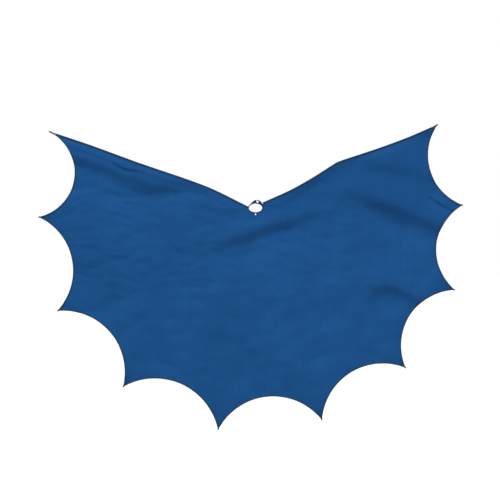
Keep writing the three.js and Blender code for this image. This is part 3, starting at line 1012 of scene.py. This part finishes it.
# %% The stitch row: one raised loop of thread, repeated
def stitch_tree():
    tree, given = new_tree("stitch row", {
        "Pitch": 3.0 * MM, "Stitch length": 2.3 * MM, "Stitch height": 0.22 * MM,
        "Thread radius": 0.13 * MM, "Seed": 3})
    points, rotation = even_points(tree, given["Line"], given["Pitch"])
    half = add_node(tree, "ShaderNodeMath", {0: given["Stitch length"], 1: 0.5}, operation="MULTIPLY")
    back = add_node(tree, "ShaderNodeMath", {0: half.outputs[0], 1: -1.0}, operation="MULTIPLY")
    sink = add_node(tree, "ShaderNodeMath", {0: given["Thread radius"], 1: -1.2}, operation="MULTIPLY")
    start = add_node(tree, "ShaderNodeCombineXYZ", {0: back.outputs[0], 2: sink.outputs[0]})
    end = add_node(tree, "ShaderNodeCombineXYZ", {0: half.outputs[0], 2: sink.outputs[0]})
    twice = add_node(tree, "ShaderNodeMath", {0: given["Stitch height"], 1: 2.0}, operation="MULTIPLY")
    middle = add_node(tree, "ShaderNodeCombineXYZ", {2: twice.outputs[0]})
    loop = add_node(tree, "GeometryNodeCurveQuadraticBezier",
                    {"Resolution": 5, "Start": start.outputs[0], "Middle": middle.outputs[0],
                     "End": end.outputs[0]})
    section = round_section(tree, given["Thread radius"], 6)
    thread = add_node(tree, "GeometryNodeCurveToMesh",
                      {"Curve": loop.outputs[0], "Profile Curve": section, "Fill Caps": True})
    uneven = add_node(tree, "FunctionNodeRandomValue",
                      {"Min": (0.88, 0.9, 0.85), "Max": (1.08, 1.1, 1.15), "Seed": given["Seed"]},
                      data_type="FLOAT_VECTOR")
    row = add_node(tree, "GeometryNodeInstanceOnPoints",
                   {"Points": points, "Instance": thread.outputs[0], "Rotation": rotation,
                    "Scale": uneven.outputs[0]})
    finish_tree(tree, row.outputs[0], given["Finish"])
    return tree


# %% The rolled edge: a thin roll with thread wound round it
def rolled_edge_tree():
    tree, given = new_tree("rolled edge", {
        "Pitch": 1.1 * MM, "Roll radius": 0.95 * MM, "Thread radius": 0.22 * MM, "Seed": 5})
    points, rotation = even_points(tree, given["Line"], given["Pitch"])
    roll = add_node(tree, "GeometryNodeCurveToMesh",
                    {"Curve": points, "Profile Curve": round_section(tree, given["Roll radius"], 8),
                     "Fill Caps": True})
    ring = add_node(tree, "GeometryNodeCurveToMesh",
                    {"Curve": round_section(tree, given["Roll radius"], 9),
                     "Profile Curve": round_section(tree, given["Thread radius"], 5)})
    upright = add_node(tree, "GeometryNodeTransform",
                       {"Geometry": ring.outputs[0], "Rotation": (0, math.pi / 2, 0)})
    lean = add_node(tree, "FunctionNodeRandomValue",
                    {"Min": (0, 0, 0.30), "Max": (0, 0, 0.52), "Seed": given["Seed"]},
                    data_type="FLOAT_VECTOR")
    tilt = add_node(tree, "FunctionNodeEulerToRotation", {0: lean.outputs[0]})
    turned = add_node(tree, "FunctionNodeRotateRotation",
                      {"Rotation": rotation, "Rotate By": tilt.outputs[0]}, rotation_space="LOCAL")
    wound = add_node(tree, "GeometryNodeInstanceOnPoints",
                     {"Points": points, "Instance": upright.outputs[0], "Rotation": turned.outputs[0]})
    edge = add_node(tree, "GeometryNodeJoinGeometry")
    tree.links.new(roll.outputs[0], edge.inputs[0])
    tree.links.new(wound.outputs[0], edge.inputs[0])
    finish_tree(tree, edge.outputs[0], given["Finish"])
    return tree


# %% Run a tree along lines and keep the plain mesh
def sew(name, tree, runs, material, **sizes):
    """Builds the tree's work along some lines and returns it as an object with no modifier.

    A run is the points of one line and the outward normal at each.
    """
    points, normals, edges = [], [], []
    for line, outward in runs:
        edges += [(len(points) + k, len(points) + k + 1) for k in range(len(line) - 1)]
        points += [tuple(point) for point in line]
        normals += [tuple(out) for out in outward]
    mesh = bpy.data.meshes.new(name + "_line")
    mesh.from_pydata(points, edges, [])
    stored = mesh.attributes.new("outward", "FLOAT_VECTOR", "POINT")
    stored.data.foreach_set("vector", np.array(normals, np.float32).ravel())
    chain = bpy.data.objects.new(name + "_line", mesh)
    bpy.context.scene.collection.objects.link(chain)
    modifier = chain.modifiers.new("sewing", "NODES")
    modifier.node_group = tree
    identifiers = {item.name: item.identifier for item in tree.interface.items_tree
                   if item.item_type == "SOCKET" and item.in_out == "INPUT"}
    for label, value in sizes.items():
        modifier[identifiers[label.replace("_", " ").capitalize()]] = value
    modifier[identifiers["Finish"]] = material
    evaluated = chain.evaluated_get(bpy.context.evaluated_depsgraph_get())
    made = bpy.data.meshes.new_from_object(evaluated)
    made.name = name
    bpy.data.objects.remove(chain)
    piece = bpy.data.objects.new(name, made)
    bpy.context.scene.collection.objects.link(piece)
    return piece


stitch_row = stitch_tree()
rolled_edge = rolled_edge_tree()

# %% Sew the hems, roll the scallops, and lay a navy cord along the fold of each top edge, dark so that it also paints the shade line under the fold
STITCH_ROWS = (3.7 * MM, 7.9 * MM)
STITCH_START = 4 * MM
STITCH_END = 34 * MM  # before the corner
STITCH_FACES = (("outside", 1, CLOTH_THICKNESS / 2), ("inside", -1, -0.52 * MM))
STITCH_SEED = 3
ROLL_INSET = 0.65 * MM
# Sizes of the navy cord on each top fold: a rolled edge whose dark colour is also painted shade, the
# shadow line along the fold.
FOLD_INSET = 0.9 * MM
FOLD_RADIUS = 1.1 * MM
FOLD_IN_CAP = 0.6 * MM
TAIL = 0.3 * MM
UNDER_SLEEVE = 4  # points of the first and last arc that the sleeves cover


def raised(run, height, sign=1):
    """A run lifted off the cloth, on its outside (sign 1) or its inside (-1)."""
    line, outward = run
    points = [point + out * height for point, out in zip(line, outward)]
    return points, [out * sign for out in outward]


def tail(index):
    """The end of the thread at a hem point, a little outside the cloth."""
    corner = hem_corners[index]
    beside = hem_corners[max(index - 1, 0):index] + hem_corners[index + 1:index + 2]
    outward = sum(((corner - other).normalized() for other in beside), Vector((0, 0)))
    return corner + outward.normalized() * TAIL


arcs = [moved_in(arc, ROLL_INSET, 1) for arc in scallops]
arcs = [[tail(k)] + arc[1:-1] + [tail(k + 1)] for k, arc in enumerate(arcs)]
arcs[0], arcs[-1] = arcs[0][UNDER_SLEEVE:], arcs[-1][:-UNDER_SLEEVE]

sewing = {part: [] for part in PARTS}
for part in PARTS:
    side = part.split("_")[0]
    edge, cloth_side = EDGES[side]
    length = line_length(edge)
    for row, inset in enumerate(STITCH_ROWS):
        row_line = moved_in(along(edge, STITCH_START, length - STITCH_END), inset, cloth_side)
        run = laid(part_of_line(row_line, part))
        for face, sign, height in STITCH_FACES:
            name = f"stitches_{part}_{row + 1}_{face}"
            sewing[part].append(
                sew(name, stitch_row, [raised(run, height, sign)], blue_thread,
                    seed=STITCH_SEED + row))
    # A navy rolled cord along the top fold. Its dark colour is partly painted shade: it stands in for the
    # shadow line under the hem's fold.
    fold_line = along(edge, HEM_START, length - CAP_LENGTH + FOLD_IN_CAP)
    fold_run = laid(part_of_line(moved_in(fold_line, FOLD_INSET, cloth_side), part))
    sewing[part].append(
        sew("fold_cord_and_shade_line_" + part, rolled_edge, [fold_run], navy_thread, roll_radius=FOLD_RADIUS))
    mine = [part_of_line(arc, part) for arc in arcs]
    runs = [laid(arc) for arc in mine if len(arc) > 2]
    sewing[part].append(sew("rolled_edge_" + part, rolled_edge, runs, navy_thread))
    print(part, "sewing faces:", sum(len(piece.data.polygons) for piece in sewing[part]))

# %% [markdown]
# ## The neck
#
# The opening is bound with a folded tape, and at the throat a doubled strap bridges it: the loose end
# comes from the left, over the end that is sewn to the right, and a press snap holds them. The tape is
# another carried outline. The straps are bands from the opening's ellipse up to a smooth line, thick in
# the middle and rounded at the rim like folded cloth.

# %% Binding
BINDING_HALF = 0.9 * MM
BINDING_SIDE = 0.8 * MM
BINDING_ANGLES = (165, 390)
TAPE_SEAM_ANGLES = (170, 385)
NECK_STEPS = 90


def level_line(points):
    """Pattern points standing in the plane of the neck, all facing straight out."""
    return [Vector((p.x, 0, p.y)) for p in points], [Vector((0, -1, 0))] * len(points)


def squared(value, power):
    """A cosine or sine raised to a power below 1, which squares up a rounded outline."""
    return math.copysign(abs(value) ** power, value)


binding_outline = [
    (BINDING_SIDE * squared(math.cos(a), 0.7), BINDING_HALF * squared(math.sin(a), 0.8))
    for a in np.linspace(0, 2 * math.pi, 16, endpoint=False)
]
binding_arc = ellipse_arc(neck_width, neck_height, *BINDING_ANGLES, NECK_STEPS)
binding = new_object("neck_tape", swept("neck_tape", *level_line(binding_arc), binding_outline),
                     navy_thread)
tape_seam = ellipse_arc(OPENING_WIDTH + BINDING_WIDTH * 1.5, OPENING_HEIGHT + BINDING_WIDTH * 1.5,
                        *TAPE_SEAM_ANGLES, NECK_STEPS)
neck_stitches = sew("neck_tape_stitches", stitch_row,
                    [raised(level_line(tape_seam), BINDING_HALF * 0.86)], blue_thread,
                    pitch=1.7 * MM, stitch_length=1.2 * MM, stitch_height=0.1 * MM,
                    thread_radius=0.09 * MM)

# %% Straps
tab_low, tab_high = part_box("closure_tab")
base_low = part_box("tab_base")[0]
STRAP_EDGE = [(-1.2, 0.12), (-1.0, 0.28), (-0.78, 0.48), (-0.45, 0.76), (-0.12, 0.96), (0.35, 1.0),
              (0.75, 0.84), (1.03, 0.56), (1.2, 0.2)]
STRAP_ANGLES = (178, 8)
STRAP_STEP = 0.3 * MM
STRAP_THICKNESS = 0.8 * MM
STRAP_OVERLAP = 0.6 * MM
LOOSE_END = 0.87
LAP_START = 0.52
strap_corners = [Vector((across * OPENING_WIDTH / 2, up * tab_high.z)) for across, up in STRAP_EDGE]
strap_top = smooth_line(strap_corners, STRAP_STEP)


def strap_places(first, last, count, inset):
    """Points on the strap's inner and outer edges, from one share of its length to another."""
    places = []
    for t in np.linspace(first, last, count):
        angle = STRAP_ANGLES[0] + (STRAP_ANGLES[1] - STRAP_ANGLES[0]) * t
        inner = ellipse_arc(OPENING_WIDTH, OPENING_HEIGHT + STRAP_OVERLAP, angle, angle, 1)[0]
        outer = strap_top[min(len(strap_top) - 1, round(t * (len(strap_top) - 1)))]
        edge = (outer - inner).normalized() * inset
        places.append((inner + edge, outer - edge))
    return places


def strap(name, first, last, depth, inset, sides=18, rings=44):
    """A doubled cloth band round the top of the neck. depth gives its middle's y at a place across."""
    points = []
    places = strap_places(first, last, rings, inset)
    for k, (inner, outer) in enumerate(places):
        from_end = min(k, len(places) - 1 - k)
        rounding = 1 - 0.12 * float(eased(1 - from_end / 3))
        centre, half = (inner + outer) / 2, (outer - inner) / 2 * rounding
        for j in range(sides):
            turn = 2 * math.pi * j / sides
            swell = squared(math.sin(turn), 0.6)
            spot = centre + half * squared(math.cos(turn), 0.45)
            points.append(Vector((spot.x, depth(spot.x) - swell * STRAP_THICKNESS / 2, spot.y)))
    mesh = closed_run(name, points, sides)
    add_pattern(mesh, seen_flat(mesh))
    return new_object(name, mesh, tab_cloth)


tab_middle = (tab_low.y + tab_high.y) / 2
tab_hinge = joints["neck_tab_open"]["pos_m"][0]
SEWN_DEPTH = -0.9 * MM
RISE_PAST_HINGE = 1.5 * MM


def tab_depth(across):
    """The loose strap lies on the cloth at its sewn end and stands off by the snap's height."""
    rise = eased((across - base_low.x) / (tab_hinge + RISE_PAST_HINGE - base_low.x))
    return SEWN_DEPTH + (tab_middle - SEWN_DEPTH) * float(rise)


loose_strap = strap("throat_strap", 0, LOOSE_END, tab_depth, 0)
lap_strap = strap("under_strap", LAP_START, 1, lambda across: 0.0, 0.3 * MM)

# %% A fine rolled edge round the loose strap
rim_places = strap_places(0.02, LOOSE_END - 0.005, 60, 0.22 * MM)
rim = [inner for inner, outer in rim_places] + [outer for inner, outer in rim_places[::-1]]
rim_line = [Vector((p.x, tab_depth(p.x) - STRAP_THICKNESS * 0.3, p.y)) for p in rim]
rim_outward = [Vector((0, -1, 0))] * len(rim_line)
strap_edge = sew("throat_strap_edge", rolled_edge, [(rim_line, rim_outward)], navy_thread,
                 pitch=0.7 * MM, roll_radius=0.28 * MM, thread_radius=0.12 * MM)
print("neck pieces:", [piece.name for piece in (binding, neck_stitches, loose_strap, lap_strap)])

# %% [markdown]
# ## The snap, the eyelet and the wire's sleeves
#
# Small turned parts are drawn as half an outline and spun. They replace the model's own, which have
# flat sides, with the same sizes and places.

# %% Turned parts
def turned_part(name, outline, centre, direction, material, sides=40):
    """Spins (radius, height) points round a line through centre.

    An outline that starts off the axis is closed, and makes a ring.
    """
    axis = Vector(direction).normalized()
    one = axis.orthogonal().normalized()
    two = axis.cross(one)
    closed = outline[0][0] > TINY
    rows = outline[:-1] if closed else outline
    points, faces, starts = [], [], []
    for radius, height in rows:
        starts.append(len(points))
        ring = sides if radius > TINY else 1
        for k in range(ring):
            turn = 2 * math.pi * k / sides
            out = (one * math.cos(turn) + two * math.sin(turn)) * radius
            points.append(Vector(centre) + axis * height + out)
    pairs = list(zip(range(len(rows)), list(range(1, len(rows))) + [0]))
    for a, b in pairs if closed else pairs[:-1]:
        wide = [rows[a][0] > TINY, rows[b][0] > TINY]
        for k in range(sides):
            n = (k + 1) % sides
            lower = [starts[a] + k, starts[a] + n] if wide[0] else [starts[a]]
            upper = [starts[b] + n, starts[b] + k] if wide[1] else [starts[b]]
            faces.append(tuple(lower + upper))
    return new_object(name, facing_out(mesh_from(name, points, faces)), material)


def rounded(corners, radius, steps=4):
    """An outline of (radius, height) corners with each inner corner rounded."""
    corners = [Vector(c) for c in corners]
    out = [corners[0]]
    for before, corner, after in zip(corners, corners[1:], corners[2:]):
        into, away = before - corner, after - corner
        reach = min(radius, into.length * 0.45, away.length * 0.45)
        a, b = corner + into.normalized() * reach, corner + away.normalized() * reach
        for k in range(steps + 1):
            t = k / steps
            out.append(a * (1 - t) ** 2 + corner * 2 * t * (1 - t) + b * t**2)
    out.append(corners[-1])
    return [(p.x, p.y) for p in out]


def centre_of(node):
    corner_low, corner_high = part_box(node)
    return (corner_low + corner_high) / 2


snap_centre = centre_of("snap_socket")
OUT = (0, -1, 0)


def heights(node):
    """How far a node reaches out from the cloth's middle, as (nearest, farthest)."""
    corner_low, corner_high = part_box(node)
    return -corner_high.y, -corner_low.y


def snap_piece(name, corners, radius):
    """A turned part on the snap's line. Its corners are (radius in mm, height)."""
    axis_point = Vector((snap_centre.x, 0, snap_centre.z))
    outline = rounded([(r * MM, h) for r, h in corners], radius * MM)
    return turned_part(name, outline, axis_point, OUT, nickel)


cap_in, cap_out = heights("snap_cap")
socket_in, socket_out = heights("snap_socket")
stud_in, stud_out = heights("snap_stud")
rivet_in, rivet_out = heights("snap_rivet")
cap_back = cap_out - 1.0 * MM
snap_cap_piece = snap_piece("snap_button", [
    (0, cap_out), (0.7, cap_out - 0.04 * MM), (1.15, cap_out - 0.22 * MM), (1.25, cap_out - 0.36 * MM),
    (1.6, cap_out - 0.42 * MM), (1.6, cap_back), (0.5, cap_back), (0.5, cap_in), (0, cap_in)], 0.16)
socket_piece = snap_piece("snap_socket_ring", [
    (1.05, socket_out), (1.9, socket_out), (2.0, socket_out - 0.3 * MM), (2.0, socket_in),
    (1.05, socket_in), (1.05, socket_out)], 0.12)
stud_piece = snap_piece("snap_ball", [
    (0, stud_out), (0.62, stud_out), (0.75, stud_out - 0.4 * MM), (0.58, stud_in + 0.45 * MM),
    (1.6, stud_in + 0.4 * MM), (1.6, stud_in), (0, stud_in)], 0.14)
rivet_piece = snap_piece("snap_back_rivet", [
    (0, rivet_out), (0.5, rivet_out), (0.5, rivet_in + 0.4 * MM), (1.6, rivet_in + 0.4 * MM),
    (1.6, rivet_in), (0, rivet_in)], 0.14)
EYELET_OUTLINE = [
    (0.5, -1.05), (0.62, -1.2), (0.9, -1.2), (1.2, -1.0), (1.2, -0.82), (0.8, -0.72), (0.8, 0.72),
    (1.2, 0.82), (1.2, 1.0), (0.9, 1.2), (0.62, 1.2), (0.5, 1.05), (0.5, -1.05),
]
eyelet_outline = [(r * MM, h * MM) for r, h in EYELET_OUTLINE]
eyelet_piece = turned_part("back_eyelet_ring", eyelet_outline, centre_of("back_eyelet"), OUT, nickel)

# %% Sleeves on the wire ends
SLEEVE_LIFT = Vector((0, 1.4)) * MM
SLEEVE_RADIUS = 1.2 * MM
SLEEVE_BORE = 0.75 * MM
BORE_DEPTH = 7 * MM


def sleeve(name, side):
    """A round-ended sleeve on a wire's outer end, lifted to cover the corner of the cloth."""
    edge, cloth_side = EDGES[side]
    wire = moved_in(edge, WIRE_INSET, cloth_side)
    base = along(wire, line_length(wire) - CAP_LENGTH)[0]
    way = (wire[-1] + SLEEVE_LIFT - base).normalized()
    outline = rounded([
        (0, CAP_LENGTH), (1.15 * MM, CAP_LENGTH), (SLEEVE_RADIUS, 2 * MM), (1.12 * MM, 0.7 * MM),
        (SLEEVE_RADIUS, 0), (SLEEVE_BORE, 0), (SLEEVE_BORE, BORE_DEPTH), (0, BORE_DEPTH)], 0.7 * MM)
    return turned_part(name, outline, (base.x, 0, base.y), (way.x, 0, way.y), black_sleeve)


left_sleeve = sleeve("left_wire_sleeve", "left")
right_sleeve = sleeve("right_wire_sleeve", "right")
print("sleeve centres in mm:", [[round(x / MM) for x in centre_of(f"{side}_wire_cap")] for side in EDGES])

# %% [markdown]
# ## What each piece moves with
#
# Cloth, hems, wires and sewing have their placement baked into their meshes. The hardware rides on one
# body.
# Each cloth piece stands for the flat panel under it, and the sewing stands for the model's plain strips.

# %% Riding and standing in
REPLACED = {
    "left_outer": ["left_tip_panel"],
    "left_inner": ["left_wing_panel", "back_panel"],
    "right_inner": ["right_wing_panel"],
    "right_outer": ["right_tip_panel"],
}
for part in PARTS:
    side, where = part.split("_")
    piece, size, area = cloth[part]
    bend_with_cape(piece)
    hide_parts(*REPLACED[part])
    hem, wire = hems[part], hems["wire_" + part]
    stretch = "tip" if where == "outer" else "wing"
    for strip, kind, slot in ((hem, "hem", "hem_cloth"), (wire, "wire", "soft_wire")):
        bend_with_cape(strip)
        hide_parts(f"{side}_{kind}_{stretch}")
        if where == "inner":
            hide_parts(f"{side}_{kind}_back")
    for sewn in sewing[part]:
        bend_with_cape(sewn)
    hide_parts(f"{side}_{stretch}_edging")
    if part == "left_inner":
        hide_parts("back_edging")

for piece, body, slot, nodes in (
    (binding, "back", "edge_thread", ["neck_binding"]),
    (neck_stitches, "back", "edge_thread", []),
    (lap_strap, "back", "tab_cloth", ["underlap_tab"]),
    (stud_piece, "back", "snap_metal", ["snap_stud"]),
    (rivet_piece, "back", "snap_metal", ["snap_rivet"]),
    (eyelet_piece, "back", "snap_metal", ["back_eyelet"]),
    (snap_cap_piece, "neck_tab", "snap_metal", ["snap_cap"]),
    (socket_piece, "neck_tab", "snap_metal", ["snap_socket"]),
    (left_sleeve, "left_tip", "wire_sleeve", ["left_wire_cap"]),
    (right_sleeve, "right_tip", "wire_sleeve", ["right_wire_cap"]),
):
    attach(piece, body)
    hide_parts(*nodes)
for piece, slot in ((loose_strap, "tab_cloth"), (strap_edge, "edge_thread")):
    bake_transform(piece)
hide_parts("closure_tab", "tab_base")

# %% [markdown]
# ## Floor, backdrop and light
#
# A pale floor far enough below keeps the cape's shadow soft. Most of the light comes from a broad sun
# high in front and a little to the left, with a softbox beside it, a weaker sun low on the right and
# one behind, so that each fold has a lit upper side and a shaded lower one. The backdrop is white to
# the eye and in the metal's reflections.

# %% Floor and light
FLOOR_DROP = 260 * MM
FLOOR_REACH = 40.0
AMBIENT = 0.2


def stage_material(name, shade):
    """A matt grey that is never quite even."""
    material, tree, shader = new_material(name, 0.9, specular=0.1)
    place_in = add_node(tree, "ShaderNodeTexCoord").outputs["Object"]
    cloudy = add_node(tree, "ShaderNodeTexNoise", {"Vector": place_in, "Scale": 3.0, "Detail": 3.0})
    level = add_node(tree, "ShaderNodeMapRange", {0: cloudy.outputs[0], 3: shade * 0.985, 4: shade})
    tree.links.new(level.outputs[0], shader.inputs["Base Color"])
    return material


floor_mesh = bpy.data.meshes.new("floor")
floor_mesh.from_pydata([(x * FLOOR_REACH, y * FLOOR_REACH, low.z - FLOOR_DROP)
                        for x, y in ((-1, -1), (1, -1), (1, 1), (-1, 1))], [], [(0, 1, 2, 3)])
floor = new_object("floor", floor_mesh, stage_material("pale floor", 0.74))

world = bpy.data.worlds.new("studio")
world.use_nodes = True
sky = world.node_tree
soft = sky.nodes["Background"]
soft.inputs[0].default_value = (1, 1, 1, 1)
soft.inputs[1].default_value = AMBIENT
bright = add_node(sky, "ShaderNodeBackground", {0: (1, 1, 1, 1), 1: 1.0})
ray = add_node(sky, "ShaderNodeLightPath").outputs
seen = add_node(sky, "ShaderNodeMath", {0: ray["Is Camera Ray"], 1: ray["Is Glossy Ray"]},
                operation="MAXIMUM")
backdrop = add_node(sky, "ShaderNodeMixShader",
                    {0: seen.outputs[0], 1: soft.outputs[0], 2: bright.outputs[0]})
sky.links.new(backdrop.outputs[0], sky.nodes["World Output"].inputs[0])
bpy.context.scene.world = world


def lamp(name, data, place, from_where):
    """Hangs a lamp so that its light comes from a direction."""
    light = bpy.data.objects.new(name, data)
    light.location = place
    light.rotation_euler = from_where.to_track_quat("Z", "Y").to_euler()
    bpy.context.scene.collection.objects.link(light)


def sun(name, towards, spread, power):
    """A wide, soft sun. towards is the direction that its light comes from."""
    data = bpy.data.lights.new(name, "SUN")
    data.angle = math.radians(spread)
    data.energy = power
    lamp(name, data, Vector(towards), Vector(towards))


def softbox(name, position, side, power):
    """A square lamp turned towards the cape. Its light falls off down the cape."""
    data = bpy.data.lights.new(name, "AREA")
    data.size = side
    data.energy = power
    lamp(name, data, Vector(position), Vector(position) - PICTURE_CENTRE)


sun("key light", (-0.35, -0.85, 1.5), 25, 3.15)
softbox("softbox", (-0.25, -0.9, 1.05), 0.7, 6.6)
sun("fill light", (0.9, -1.0, 0.5), 60, 0.4)
sun("back light", (0.4, 1.0, 1.2), 60, 1.6)
bpy.context.scene.view_settings.view_transform = "Standard"
